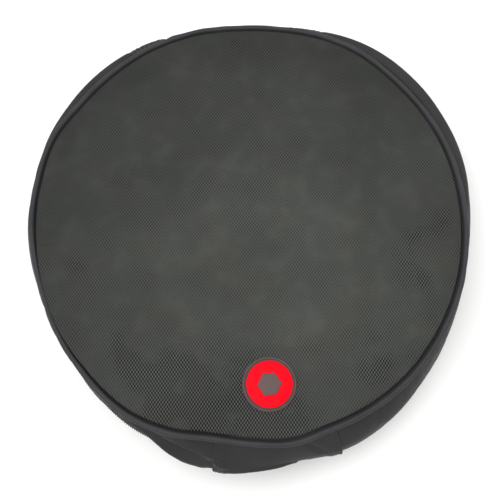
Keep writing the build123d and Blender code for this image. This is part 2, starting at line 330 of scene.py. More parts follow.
def skin(sections, closed, along=None):
    """Points, faces and cloth coordinates of a closed skin through equal loops of points.

    sections is an array (sections, points, 3).  A loop runs out along one side of the piece and
    back along the other, so an open skin's ends are closed by strips between the two sides.
    """
    count, loop, _ = sections.shape
    if along is None:
        middles = sections.mean(1)
        steps = np.linalg.norm(np.roll(middles, -1, 0) - middles, axis=1)
        along = np.concatenate(([0], np.cumsum(steps)))
    edge = np.linalg.norm(np.roll(sections[0], -1, 0) - sections[0], axis=1)
    across = np.concatenate(([0], np.cumsum(edge)))
    i, j = np.meshgrid(np.arange(count if closed else count - 1), np.arange(loop), indexing="ij")
    i, j = i.ravel(), j.ravel()
    corners = ((i, j), (i + 1, j), (i + 1, j + 1), (i, j + 1))
    faces = [a % count * loop + b % loop for a, b in corners]
    uv = [np.stack((along[a], across[b]), -1) for a, b in corners]
    faces, uv = np.stack(faces, 1), np.stack(uv, 1).reshape(-1, 2)
    if not closed:
        k = np.arange(loop // 2 - 1)
        cap = np.stack((k, k + 1, loop - 2 - k, loop - 1 - k), 1)
        faces = np.concatenate((faces, cap, cap[:, ::-1] + (count - 1) * loop))
        flat = np.stack((across[cap], 0 * across[cap]), -1).reshape(-1, 2)
        uv = np.concatenate((uv, flat, flat))
    return sections.reshape(-1, 3), faces, uv


def joined(skins):
    """Two skins as one."""
    (points, faces, uv), (more_points, more_faces, more_uv) = skins
    return (np.concatenate((points, more_points)), np.concatenate((faces, more_faces + len(points))),
            np.concatenate((uv, more_uv)))


def disc_grid(count):
    """A square net of count + 1 rows laid on the unit disc, as bearings in degrees and shares of the
    radius, with its rows closer together near the rim."""
    line = np.linspace(-1, 1, count + 1)
    a, b = np.meshgrid(line, line, indexing="ij")
    wide = np.abs(a) >= np.abs(b)
    major = np.where(wide, a, b)
    safe = np.where(major == 0, 1, major)
    turn = np.pi / 4 * np.where(wide, b, a) / safe
    angle = np.where(wide, turn, np.pi / 2 - turn)
    x, y = major * np.cos(angle), major * np.sin(angle)
    share = np.hypot(x, y)
    crowd = 0.3
    return np.degrees(np.arctan2(y, x)), share + crowd * share * (1 - share**2)


def net_faces(index):
    """Faces of a net of points, from the grid of their numbers."""
    return np.stack((index[:-1, :-1], index[1:, :-1], index[1:, 1:], index[:-1, 1:]), -1).reshape(-1, 4)


def slab(out, back, along=None, closed=False):
    """Skin of a layer between the points of its outer side and of its inner side."""
    return skin(np.concatenate((out, back[:, ::-1]), 1), closed, along)


def rounded_square(count, corner):
    """Points round a square of half width 1; a small corner leaves it sharper."""
    turn = (np.arange(count) + 0.5) * 2 * np.pi / count
    return [np.sign(side) * np.abs(side) ** corner for side in (np.cos(turn), np.sin(turn))]


def disc_skin(top, bottom):
    """Points, faces and cloth coordinates of a sheet between two square nets of points."""
    rows = top.shape[0]
    size = rows * rows
    index = np.arange(size).reshape(rows, rows)
    top_faces = net_faces(index)
    rim = np.concatenate((index[:-1, 0], index[-1, :-1], index[:0:-1, -1], index[0, :0:-1]))
    following = np.roll(rim, -1)
    side = np.stack((rim, rim + size, following + size, following), -1)
    faces = np.concatenate((top_faces, top_faces[:, ::-1] + size, side))
    points = np.concatenate((top.reshape(-1, 3), bottom.reshape(-1, 3)))
    turn = math.radians(-view_azimuth)
    x, y = points[:, 0], points[:, 1]
    flat = np.stack((x * math.cos(turn) - y * math.sin(turn), x * math.sin(turn) + y * math.cos(turn)), -1)
    return points, faces, flat[faces.ravel()]


def place(piece, body, slot, *nodes, finish=None):
    """Give a finished piece its slot's material, put it under its body and hide the CAD nodes it stands for.
    """
    piece.data.materials.append(material_of(finish or slot))
    if isinstance(body, str):
        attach(piece, body)
    if nodes:
        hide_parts(*nodes)
    return piece


def settle(points, faces, pinned, frames, pressure, slack):
    """Points of a cloth after a short simulation.

    The cloth is cut larger than its form by the share slack, so it ripples between its seams.
    """
    mesh = bpy.data.meshes.new("settling")
    mesh.from_pydata([tuple(p) for p in points], [], [tuple(f) for f in faces])
    piece = in_scene(bpy.data.objects.new("settling", mesh))
    group = piece.vertex_groups.new(name="sewn")
    group.add([int(i) for i in np.flatnonzero(pinned)], 1.0, "REPLACE")
    modifier = piece.modifiers.new("Cloth", "CLOTH")
    modifier.settings.effector_weights.gravity = 0
    chosen = {
        "quality": 5, "mass": 0.2, "tension_stiffness": 20, "compression_stiffness": 20,
        "shear_stiffness": 8, "bending_stiffness": 0.6, "vertex_group_mass": "sewn",
        "shrink_min": -slack, "use_pressure": True, "uniform_pressure_force": pressure,
    }
    for setting, value in chosen.items():
        setattr(modifier.settings, setting, value)
    modifier.point_cache.frame_start, modifier.point_cache.frame_end = 1, frames
    scene = bpy.context.scene
    for number in range(1, frames + 1):
        scene.frame_set(number)
    settled = piece.evaluated_get(bpy.context.evaluated_depsgraph_get()).to_mesh()
    found = np.zeros(len(points) * 3, np.float32)
    settled.vertices.foreach_get("co", found)
    scene.frame_set(1)
    bpy.data.objects.remove(piece)
    bpy.data.meshes.remove(mesh)
    return found.reshape(-1, 3).astype(float)


def capped(shift, cap):
    """Shifts squeezed to stay within the cap."""
    return cap * np.tanh(shift / cap)


def seeded_noise(x, y, seed, scale):
    """Smooth repeatable noise from a few crossed waves, about -1 to 1."""
    draw = np.random.default_rng(seed)
    total = 0
    for _ in range(9):
        angle, phase = draw.uniform(0, 2 * np.pi), draw.uniform(0, 2 * np.pi)
        stretch = draw.uniform(0.6, 1.7)
        total = total + np.sin((x * np.cos(angle) + y * np.sin(angle)) * stretch / scale + phase)
    return total / 4


# ---- materials ----
# The oxford cloths hardly shine, and show only a little pale fluff at a low angle.
CLOTH_SHINE = {"sheen_weight": 0.02, "sheen_roughness": 0.5, "specular_ior_level": 0.15}


def add_node(tree, kind, inputs=(), **settings):
    """Add one node.  Its settings are its own properties.  Its inputs are values, sockets or nodes,
    named in a dict or in the node's own order in a tuple; a node stands for its first output."""
    made = tree.nodes.new("ShaderNode" + kind)
    for name, value in settings.items():
        setattr(made, name, value)
    for name, value in inputs.items() if isinstance(inputs, dict) else enumerate(inputs):
        if isinstance(value, bpy.types.Node):
            value = value.outputs[0]
        if isinstance(value, bpy.types.NodeSocket):
            tree.links.new(value, made.inputs[name])
        else:
            made.inputs[name].default_value = value
    return made


def new_finish(name, roughness, **sockets):
    """A material with one Principled shader, whose constant values stand on its own sockets."""
    material = bpy.data.materials.new(name)
    material.use_nodes = True
    tree = material.node_tree
    tree.nodes.clear()
    shader = add_node(tree, "BsdfPrincipled", {"Roughness": roughness})
    for socket, value in sockets.items():
        shader.inputs[socket.replace("_", " ").title().replace("Ior", "IOR")].default_value = value
    add_node(tree, "OutputMaterial", {"Surface": shader})
    place_on = add_node(tree, "TexCoord").outputs["Object"]
    return material, tree, shader, place_on


def cover(tree, shader, base, height, strength, depth):
    """Give the shader its colour and the relief of its surface, whose depth is in metres."""
    tree.links.new(base, shader.inputs["Base Color"])
    bump = add_node(tree, "Bump", {"Height": height, "Strength": strength, "Distance": depth})
    tree.links.new(bump.outputs[0], shader.inputs["Normal"])


def interlace(tree, across, along):
    """Height of a plain weave with these thread spacings: 1 on a crossing, -1 in a hole."""
    parts = add_node(tree, "SeparateXYZ", (add_node(tree, "UVMap", uv_map="cloth"),))
    waves = []
    for axis, spacing in (("X", across), ("Y", along)):
        scaled = add_node(tree, "Math", (parts.outputs[axis], math.pi / spacing), operation="MULTIPLY")
        waves.append(add_node(tree, "Math", (scaled,), operation="SINE"))
    return add_node(tree, "Math", waves, operation="MULTIPLY")


def woven(name, paint, across, along, contrast, depth, roughness=0.62):
    """A plain woven cloth of one colour: a fine check of threads and slow changes of shade."""
    material, tree, shader, place_on = new_finish(name, roughness, **CLOTH_SHINE)
    weave = interlace(tree, across, along)
    lit = add_node(tree, "MapRange", (weave, -1, 1, 1 - contrast, 1 + contrast))
    cloud = add_node(tree, "TexNoise", {"Vector": place_on, "Scale": 45, "Detail": 3})
    shade = add_node(tree, "MapRange", (cloud, 0.3, 0.7, 0.88, 1.12))
    both = add_node(tree, "Math", (lit, shade), operation="MULTIPLY")
    thread = tuple(getattr(colours(), paint))
    base = add_node(tree, "VectorMath", {0: thread, "Scale": both}, operation="SCALE")
    cover(tree, shader, base.outputs[0], weave, 0.5, depth)
    return material


# Places where painted shade darkens the front's holes more: x, y, radius in metres, and how much.
SHADED_HOLE_PLACES = (
    (-0.034, -0.118, 0.046, 1.1), (0.004, -0.134, 0.036, 1.0), (-0.062, -0.108, 0.034, 1.1),
    (-0.089, -0.079, 0.020, 0.6), (-0.083, -0.092, 0.016, 0.6), (0.063, -0.105, 0.030, 0.4),
    (0.106, -0.030, 0.024, 0.3), (0.134, 0.038, 0.012, 0.4), (0.130, -0.018, 0.016, 0.3),
    (-0.112, -0.024, 0.020, 0.3), (0.010, 0.132, 0.030, 0.3), (0.100, -0.060, 0.030, 0.3),
)


def nylon_front(name):
    """Coarse plain-woven nylon, 0.98 by 1.41 mm: a light net of shiny threads round small dark holes,
    with painted shade deepening the holes and a painted highlight on the threads at listed places, and
    painted shade darkening the threads towards the rim."""
    size, paint = sizes(), colours()
    material, tree, shader, place_on = new_finish(name, 0.55, sheen_weight=0.03, sheen_roughness=0.45,
                                                  specular_ior_level=0.15)
    weave = interlace(tree, size.weave_across, size.weave_along)
    hole = add_node(tree, "MapRange", (weave, 0.40, -0.24, 0, 1))
    # Painted shade in the weave's holes: a little everywhere, more round each listed place, made uneven by
    # noise.
    hole_shade = 0.55
    for x, y, reach, strength in SHADED_HOLE_PLACES:
        gap = add_node(tree, "VectorMath", (place_on, (x, y, bag_depth)), operation="DISTANCE")
        near = add_node(tree, "MapRange", (gap.outputs["Value"], reach, 0, 0, strength),
                        interpolation_type="SMOOTHSTEP")
        hole_shade = add_node(tree, "Math", (near, hole_shade), operation="ADD")
    patchy = add_node(tree, "TexNoise", {"Vector": place_on, "Scale": 70, "Detail": 3})
    uneven = add_node(tree, "MapRange", (patchy, 0.3, 0.7, 0.35, 1.35))
    hole_shade = add_node(tree, "Math", (hole_shade, uneven), operation="MULTIPLY", use_clamp=True)
    dark = add_node(tree, "Math", (hole, hole_shade), operation="MULTIPLY")
    broad = add_node(tree, "TexNoise", {"Vector": place_on, "Scale": 16, "Detail": 2})
    light = add_node(tree, "MapRange", (broad, 0.3, 0.7, 0.86, 1.12))
    # Painted shade: the threads' colour is darkened towards the rim, where the cloth slopes away from the
    # light.
    outward = add_node(tree, "VectorMath", (place_on, (0.02, -0.04, bag_depth)), operation="DISTANCE")
    painted_rim_shade = add_node(tree, "MapRange", (outward.outputs["Value"], 0.05, 0.16, 1.0, 0.60))
    # Painted highlight: the threads' colour is brightened where the holes get painted shade, as if they
    # shine more there.
    painted_thread_highlight = add_node(tree, "MapRange", (hole_shade, 0.45, 1, 1.0, 1.35))
    for factor in (painted_rim_shade, painted_thread_highlight):
        light = add_node(tree, "Math", (light, factor), operation="MULTIPLY")
    # Mix keeps one set of sockets for each data type; the colour pair has the indices 6 and 7.
    cool = add_node(tree, "TexNoise", {"Vector": place_on, "Scale": 28, "Detail": 1})
    tint = add_node(tree, "Mix", {0: cool, 6: (0.93, 1.0, 1.01, 1), 7: (1.07, 1.0, 0.94, 1)},
                    data_type="RGBA")
    thread = add_node(tree, "VectorMath", {0: tuple(paint.face_thread), "Scale": light},
                      operation="SCALE")
    thread = add_node(tree, "VectorMath", (thread, tint.outputs[2]), operation="MULTIPLY")
    base = add_node(tree, "Mix", {0: dark, 6: thread, 7: (*paint.face_hole, 1)}, data_type="RGBA")
    cover(tree, shader, base.outputs[2], weave, 0.55, 0.25 * MM)
    return material


def polyethylene_foam(name):
    """Closed-cell polyethylene foam: charcoal, matt and pitted by 1 mm cells."""
    material, tree, shader, place_on = new_finish(name, 0.85, ior=1.5)
    cells = add_node(tree, "TexVoronoi", {"Vector": place_on, "Scale": 900})
    shade = add_node(tree, "MapRange", {"Value": cells, "To Min": 0.8, "To Max": 1.05})
    base = add_node(tree, "VectorMath", {0: tuple(colours().foam), "Scale": shade}, operation="SCALE")
    cover(tree, shader, base.outputs[0], cells, 0.6, 0.3 * MM)
    return material


def moulded(name, paint, roughness, grain, depth, spread=0.1, **sockets):
    """A moulded or coated solid: one colour, a fine grain from the mould and slow scuffing."""
    material, tree, shader, place_on = new_finish(name, roughness, **sockets)
    pits = add_node(tree, "TexNoise", {"Vector": place_on, "Scale": 1 / grain, "Detail": 2})
    scuff = add_node(tree, "TexNoise", {"Vector": place_on, "Scale": 220, "Detail": 4})
    shade = add_node(tree, "MapRange", (scuff, 0.3, 0.7, 1 - spread, 1 + spread))
    body = tuple(getattr(colours(), paint))
    base = add_node(tree, "VectorMath", {0: body, "Scale": shade}, operation="SCALE")
    dull = add_node(tree, "MapRange", (scuff, 0.3, 0.7, roughness - 0.07, roughness + 0.1))
    tree.links.new(dull.outputs[0], shader.inputs["Roughness"])
    cover(tree, shader, base.outputs[0], pits, 0.4, depth)
    return material


def black_enamel(name):
    """Zinc die casting with baked black enamel: glossy, with bare metal at scuffed spots."""
    material, tree, shader, place_on = new_finish(name, 0.3, coat_weight=0.35, coat_roughness=0.12)
    scuff = add_node(tree, "TexNoise", {"Vector": place_on, "Scale": 380, "Detail": 5, "Roughness": 0.65})
    worn = add_node(tree, "MapRange", (scuff, 0.64, 0.7))
    tree.links.new(worn.outputs[0], shader.inputs["Metallic"])
    base = add_node(tree, "Mix", {0: worn, 6: (*colours().enamel, 1), 7: (*colours().bare_metal, 1)},
                    data_type="RGBA")
    cover(tree, shader, base.outputs[2], scuff, 0.15, 0.05 * MM)
    return material


# The material of each slot, and of the thread and the floor, which have no slot: its name, the
# function that makes it, and that function's own values.
FINISHES = {
    "face_cloth": ("coarse_nylon_front", nylon_front, {}),
    # Polyester oxford cloth: smooth and matt.  Its 0.4 mm threads are drawn at 0.8 mm to show.
    "wall_cloth": ("oxford_polyester_wall", woven, dict(
        paint="wall_cloth", across=0.8 * MM, along=0.8 * MM, contrast=0.10, depth=0.12 * MM)),
    # The same cloth cut on the bias and wrapped round a cord, a little shinier at its crown.
    "piping": ("oxford_polyester_piping", woven, dict(
        paint="piping_cloth", across=0.7 * MM, along=0.7 * MM, contrast=0.12,
        depth=0.12 * MM, roughness=0.5)),
    # Nylon taffeta: thin and close, so it shines softly and shows almost no weave.
    "lining": ("nylon_taffeta_lining", woven, dict(
        paint="lining", across=0.7 * MM, along=0.9 * MM, contrast=0.06,
        depth=0.06 * MM, roughness=0.42)),
    # Grosgrain: ribs at 1.2 mm across the tape.
    "binding": ("grosgrain_binding_tape", woven, dict(
        paint="tape", across=1.2 * MM, along=9 * MM, contrast=0.2, depth=0.25 * MM)),
    # Woven polyester: close ribs along the tape, drawn at 0.9 mm to show.
    "zip_tape": ("woven_polyester_zip_tape", woven, dict(
        paint="tape", across=6 * MM, along=0.9 * MM, contrast=0.16, depth=0.15 * MM)),
    # Polypropylene webbing: 2 mm floats in a fish-bone weave, with a waxy shine.
    "webbing": ("polypropylene_webbing", woven, dict(
        paint="webbing", across=1.6 * MM, along=2.2 * MM, contrast=0.24,
        depth=0.5 * MM, roughness=0.45)),
    "foam": ("cell_polyethylene_foam", polyethylene_foam, {}),
    # Extruded nylon monofilament: dark, smooth and fairly shiny.
    "zip_coil": ("nylon_coil", moulded, dict(
        paint="coil", roughness=0.32, grain=0.6 * MM, depth=0.02 * MM, ior=1.53)),
    "slider_metal": ("enamelled_zinc", black_enamel, {}),
    # Moulded soft PVC: matt, with a fine spark-eroded grain.
    "grip_rubber": ("moulded_soft_pvc", moulded, dict(
        paint="rubber", roughness=0.6, grain=0.35 * MM, depth=0.08 * MM, ior=1.54)),
    # Moulded soft PVC in taupe: matt, faintly dusty.
    "badge_rubber": ("moulded_taupe_pvc", moulded, dict(
        paint="badge", roughness=0.5, grain=0.4 * MM, depth=0.03 * MM,
        specular_ior_level=0.25)),
    # Red soft PVC poured into the badge: clean and bright, with hardly any glare over its colour.
    "badge_colour": ("poured_red_pvc", moulded, dict(
        paint="badge_field", roughness=0.45, grain=0.5 * MM, depth=0.02 * MM,
        spread=0.03, specular_ior_level=0.05)),
    # Bonded nylon: twisted at 1 mm, a shade darker than the cloth that it sews.
    "thread": ("bonded_nylon_thread", moulded, dict(
        paint="thread", roughness=0.45, grain=0.3 * MM, depth=0.05 * MM, ior=1.53)),
    # Matt white background paper: even, with no grain to see from this far.
    "floor": ("white_background_paper", moulded, dict(
        paint="floor", roughness=0.9, grain=2 * MM, depth=0.01 * MM, spread=0.004)),
}


def material_of(part):
    """The material of a part, made on its first use."""
    name, make, values = FINISHES[part]
    return bpy.data.materials.get(name) or make(name, **values)


# ---- sewing ----
def stitches(path, normals):
    """Points and faces of a row of stitches along a path, each a short arched thread."""
    size = sizes()
    steps = np.linalg.norm(np.diff(path, axis=0), axis=1)
    far = np.concatenate(([0], np.cumsum(steps)))
    pitch = size.stitch_length + size.stitch_gap
    starts = (np.arange(max(int(far[-1] / pitch), 1)) + 0.1) * pitch
    sides, cuts = 6, np.array((0.0, 0.12, 0.5, 0.88, 1.0))
    swell = np.array((0.45, 1.0, 1.0, 1.0, 0.45)) * size.thread_radius
    rise = np.array((-0.7, 0.35, 0.75, 0.35, -0.7)) * size.thread_radius
    spots = starts[:, None] + cuts * size.stitch_length
    at = np.stack([np.interp(spots, far, path[:, k]) for k in range(3)], -1)
    up = np.stack([np.interp(spots, far, normals[:, k]) for k in range(3)], -1)
    run = unit(np.repeat(at[:, -1:] - at[:, :1], len(cuts), 1))
    side = np.cross(run, up)
    angle = np.arange(sides) * 2 * np.pi / sides
    ring = (side[:, :, None] * np.cos(angle)[:, None] + up[:, :, None] * np.sin(angle)[:, None])
    points = (at + up * rise[:, None])[:, :, None] + ring * swell[:, None, None]
    faces = []
    each = len(cuts) * sides
    for n in range(len(starts)):
        for c in range(len(cuts) - 1):
            for s in range(sides):
                a, b = n * each + c * sides + s, n * each + c * sides + (s + 1) % sides
                faces.append((a, b, b + sides, a + sides))
        faces.append([n * each + s for s in range(sides)][::-1])
        faces.append([n * each + each - sides + s for s in range(sides)])
    return points.reshape(-1, 3), faces


def sew(name, body, rows, slot):
    """One object of stitches along several rows, each a path and its outward normals."""
    points, faces, count = [], [], 0
    for path, normals in rows:
        new_points, new_faces = stitches(path, normals)
        points.append(new_points)
        faces += [[i + count for i in f] for f in new_faces]
        count += len(new_points)
    return place(finished(name, np.concatenate(points), faces, sharp=60), body, slot, finish="thread")


def on_wall(bearings, heights, layer):
    """A path on the wall with its outward normals, from bearings and heights."""
    bearings, heights = np.broadcast_arrays(np.asarray(bearings, float), np.asarray(heights, float))
    at = wall_place(bearings, heights, layer)
    across = wall_place(bearings + 0.1, heights, layer) - at
    upward = wall_place(bearings, heights + 0.2 * MM, layer) - at
    normals = np.cross(across, upward)
    return at, unit(normals)


# ---- soft pieces of the wall ----
HEM_STITCH = 2.6 * MM       # from the folded edge of the cloth beside the zip to its stitching
# Each layer of the wall, from the outer cloth in: its outer side, its inner side, and its ends.
TAPE_SIDES = (-cloth - layer_gap, -cloth - layer_gap - 0.8 * MM)
FOAM_OUTER = -cloth - 2 * layer_gap - 1.2 * MM
FOAM_SIDES = (FOAM_OUTER, FOAM_OUTER - 8.4 * MM)
LINING_SIDES = (FOAM_OUTER - 8.7 * MM, FOAM_OUTER - 8.7 * MM - 0.8 * MM)


def wall_band(name, outer, inner, low, high, start, end, rows, hem=None, ripple=None, closed=False):
    """A layer of the wall between two depths, two heights and two bearings.

    hem is the height of a folded edge, where the cloth is thicker outwards.
    ripple gives a further outward shift at each bearing and height.
    """
    count = int(sizes().round_steps * (end - start) / 360)
    bearing = np.linspace(start, end, count, endpoint=not closed)[:, None]
    # Two extra rows close to each edge round it off.
    share = np.concatenate(([0, 0.25 / rows], np.linspace(0, 1, rows)[1:-1], [1 - 0.25 / rows, 1]))
    height = (low + (high - low) * share)[None, :]
    thick = np.ones_like(share)
    thick[[0, -1]] = 0.55
    middle, half = (outer + inner) / 2, (outer - inner) / 2
    extra = 0 * height
    if hem is not None:
        extra = 0.45 * MM * (1 - ramp(np.abs(height - hem), 5.5 * MM, 7.5 * MM))
        extra = extra - 0.3 * MM * hill(np.abs(height - hem) - HEM_STITCH, 0.9 * MM)
    lift = ripple(bearing, height) if ripple else 0
    out = wall_place(bearing, height, middle + half * thick + extra + lift)
    back = wall_place(bearing, height, middle - half * thick)
    along = np.radians(np.linspace(start, end, count + 1) - start) * wall_reach
    return finished(name, *slab(out, back, along, closed))


def wall_ripple(low, high, start, end, seed):
    """Outward ripples of a band of wall cloth, from a short cloth simulation between its seams."""
    columns, rows = 540, 15
    bearing = np.linspace(start, end, columns)
    height = np.linspace(low, high, rows)
    b, h = np.meshgrid(bearing, height, indexing="ij")
    rough = seeded_noise(np.radians(b) * wall_reach, h, seed, 9 * MM)
    at, out = on_wall(b, h, 0.2 * MM * rough)
    faces = net_faces(np.arange(b.size).reshape(b.shape))
    held = np.zeros(b.shape, bool)
    held[[0, -1], :] = held[:, [0, -1]] = True
    settled = settle(at.reshape(-1, 3), faces, held.ravel(), 24, 0.6, 0.006)
    shift = ((settled.reshape(at.shape) - at) * out).sum(-1)
    shift = capped(shift - shift.mean(), sizes().ripple_cap) + 0.3 * MM
    shift *= ramp(h, low, low + 5 * MM) * (1 - ramp(h, high - 4 * MM, high))

    def lookup(at_bearing, at_height):
        column = np.interp(at_bearing, bearing, np.arange(columns)) + 0 * at_height
        row = np.interp(at_height, height, np.arange(rows)) + 0 * at_bearing
        c, r = np.minimum(column.astype(int), columns - 2), np.minimum(row.astype(int), rows - 2)
        u, v = column - c, row - r
        left = shift[c, r] * (1 - v) + shift[c, r + 1] * v
        right = shift[c + 1, r] * (1 - v) + shift[c + 1, r + 1] * v
        return left * (1 - u) + right * u

    return lookup


class BuildWall(bpy.types.Operator):
    """Build the two halves of the side wall: cloth, zip tape, foam and lining"""

    bl_idname = "drum_bag.wall"
    bl_label = "Side wall"

    def execute(self, context):
        start, end = SPINE + wall_end, SPINE + 360 - wall_end
        bearings = np.linspace(SPINE + spine_half + 0.3, SPINE + 360 - spine_half - 0.3, 1400)
        for half, side, seed in (("base", -1, 3), ("lid", 1, 5)):
            spans = {}
            for part in ("gusset_shell", "zip_tape", "gusset_foam", "gusset_lining"):
                low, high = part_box(f"{half}_{part}")
                spans[part] = (low.z, high.z)
            zip_edge = spans["gusset_shell"][0 if side > 0 else 1]
            # The lid's cloth stops under the piping, which leaves the seam beside the front open.
            low, high = spans["gusset_shell"][0], min(spans["gusset_shell"][1], seam_height)
            ripple = wall_ripple(low, high, start, end, seed)
            shell = wall_band(f"{half}_wall_cloth", 0, -cloth, low, high, start, end, 60, zip_edge, ripple)
            place(shell, half, "wall_cloth", f"{half}_gusset_shell")
            low, high = spans["zip_tape"]
            strip = wall_band(f"{half}_zip_tape_cloth", *TAPE_SIDES, low, high, start, end, 10)
            place(strip, half, "zip_tape", f"{half}_zip_tape")
            low, high = spans["gusset_foam"]
            pad = wall_band(f"{half}_wall_foam", *FOAM_SIDES, low, high, 0, 360, 10, closed=True)
            place(pad, half, "foam", f"{half}_gusset_foam")
            low, high = spans["gusset_lining"]
            inside = wall_band(f"{half}_wall_lining", *LINING_SIDES, low, high, 0, 360, 16, closed=True)
            place(inside, half, "lining", f"{half}_gusset_lining")
            row = on_wall(bearings, zip_edge + side * HEM_STITCH, 0.35 * MM)
            sew(f"{half}_zip_stitching", half, [row], "wall_cloth")
        return {"FINISHED"}


class BuildSpine(bpy.types.Operator):
    """Build the cloth spine that the lid turns on, and the backing behind it"""

    bl_idname = "drum_bag.spine"
    bl_label = "Cloth spine"

    def execute(self, context):
        low, high = spine_low.z, spine_high.z
        bearing = np.linspace(SPINE - spine_half, SPINE + spine_half, 150)[:, None]
        height = np.linspace(low, high, 96)[None, :]
        from_end = np.radians(spine_half - np.abs(bearing - SPINE)) * wall_reach
        # Folded hems at both ends stand a little proud, with two rows of stitching sunk into them.
        hem = 0.4 * MM * (1 - ramp(from_end, 7 * MM, 9.5 * MM)) + 0 * height
        stitched = (2.2 * MM, 6.4 * MM)
        groove = -0.25 * MM * sum(hill(from_end - inset, 1.1 * MM) for inset in stitched)
        lip = 0.6 * MM * (1 - ramp(from_end, 0, 3 * MM)) * hill(height - 42 * MM, 24 * MM)
        lip = lip * (bearing > SPINE)
        quilt = 0.35 * MM * seeded_noise(np.radians(bearing) * wall_reach, height, 11, 7 * MM)
        quilt = quilt * ramp(from_end, 6 * MM, 12 * MM)
        out_layer = 1.5 * MM + hem + groove + lip + np.maximum(quilt, -0.3 * MM)
        rim = np.minimum(ramp(from_end, -0.4 * MM, 0.6 * MM), 1) + 0 * height
        out = wall_place(bearing, height, 0.9 * MM + (out_layer - 0.9 * MM) * rim)
        back = wall_place(bearing, height, 0.3 * MM + 0 * hem)
        panel = finished("spine_cloth", *slab(out, back))
        place(panel, None, "wall_cloth", "spine_panel")
        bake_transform(panel)

        back_low, back_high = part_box("spine_backing")
        inner = -cloth - layer_gap - 0.5 * MM
        backing = wall_band("spine_backing_cloth", -layer_gap, inner, back_low.z, back_high.z,
                            SPINE - wall_end + 0.25, SPINE + wall_end - 0.25, 44)
        place(backing, None, "wall_cloth", "spine_backing")
        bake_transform(backing)

        heights = np.linspace(low + 1.5 * MM, high - 3 * MM, 200)
        rows = []
        for side in (-1, 1):
            for inset in stitched:
                turned = SPINE + side * (spine_half - math.degrees(inset / wall_reach))
                rows.append(on_wall(turned, heights, 1.85 * MM))
        thread = sew("spine_stitching", None, rows, "wall_cloth")
        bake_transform(thread)
        return {"FINISHED"}


# ---- round panels ----
def round_sheet(name, top_height, bottom_height, radius, count=72):
    """A round sheet between two height functions of x and y."""
    bearing, share = disc_grid(count)
    reach = radius * share
    x, y = reach * np.cos(np.radians(bearing)), reach * np.sin(np.radians(bearing))
    top = np.stack((x, y, top_height(x, y) + 0 * x), -1)
    bottom = np.stack((x, y, bottom_height(x, y) + 0 * x), -1)
    return finished(name, *disc_skin(top, bottom), sharp=50)


def round_foam(name, body, node, top_height, bottom_height):
    """The foam of a round panel."""
    pad = round_sheet(name, top_height, bottom_height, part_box(node)[1].x)
    place(pad, body, "foam", node)


def round_lining(name, body, node, side, seed):
    """The lining of a round panel, slack on the side that faces into the bag: 1 is up, -1 down."""
    low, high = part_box(node)

    def slack(x, y):
        wave = 0.35 * MM * (1 + seeded_noise(x, y, seed, 16 * MM))
        return wave * (1 - ramp(np.hypot(x, y) / high.x, 0.9, 1))

    sheet = round_sheet(name, lambda x, y: high.z + max(side, 0) * slack(x, y),
                        lambda x, y: low.z + min(side, 0) * slack(x, y), high.x)
    place(sheet, body, "lining", node)


class BuildFront(bpy.types.Operator):
    """Build the round front: rippled woven cloth, padding and lining"""

    bl_idname = "drum_bag.front"
    bl_label = "Front panel"

    def execute(self, context):
        bearing, share = disc_grid(132)
        reach = (panel_radius + hills(bearing, SEAM_HILLS)) * share * rim_share
        x, y = reach * np.cos(np.radians(bearing)), reach * np.sin(np.radians(bearing))
        rough = seeded_noise(x, y, 21, 14 * MM)
        to_badge = np.hypot(x - badge_middle.x, y - badge_middle.y)
        flat = np.stack((x, y, front_height(x, y) + 0.25 * MM * rough), -1)
        faces = net_faces(np.arange(x.size).reshape(x.shape))
        held = (share > 0.999) | (to_badge < badge_radius)
        settled = settle(flat.reshape(-1, 3), faces, held.ravel(), 22, 0.3, 0.0035)
        ripple = settled[:, 2].reshape(x.shape) - flat[..., 2]
        ripple = capped(ripple, sizes().ripple_cap) * ramp(to_badge, badge_radius, badge_radius + 9 * MM)
        ripple = ripple * (1 - ramp(share, 0.96, 1.0))
        z = front_height(x, y) + ripple
        top, bottom = np.stack((x, y, z), -1), np.stack((x, y, z - cloth), -1)
        sheet = finished("front_cloth", *disc_skin(top, bottom), sharp=60)
        place(sheet, "lid", "face_cloth", "face_panel")

        foam_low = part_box("face_foam")[0].z
        round_foam("front_foam", "lid", "face_foam",
                   lambda x, y: front_height(x, y) - cloth - 1.4 * MM, lambda x, y: foam_low)
        round_lining("front_lining", "lid", "face_lining", -1, 31)
        return {"FINISHED"}


class BuildBack(bpy.types.Operator):
    """Build the round back: plain cloth, padding and lining"""

    bl_idname = "drum_bag.back"
    bl_label = "Back panel"

    def execute(self, context):
        def under(x, y):
            share = np.hypot(x, y) / panel_radius
            lift = 0.35 * MM * (1 + seeded_noise(x, y, 41, 18 * MM)) * ramp(share, 0.1, 0.7)
            return lift * (1 - ramp(share, 0.9, 0.97)) + 1.4 * MM * ramp(share, 0.95, 1.0) ** 1.6

        sheet = round_sheet("back_cloth", lambda x, y: under(x, y) + cloth, under,
                            panel_radius + 0.3 * MM, 96)
        place(sheet, "base", "wall_cloth", "back_panel")
        foam_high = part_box("back_foam")[1].z
        round_foam("back_foam_pad", "base", "back_foam", lambda x, y: foam_high,
                   lambda x, y: under(x, y) + cloth + 0.8 * MM)
        round_lining("back_lining_cloth", "base", "back_lining", 1, 51)
        return {"FINISHED"}


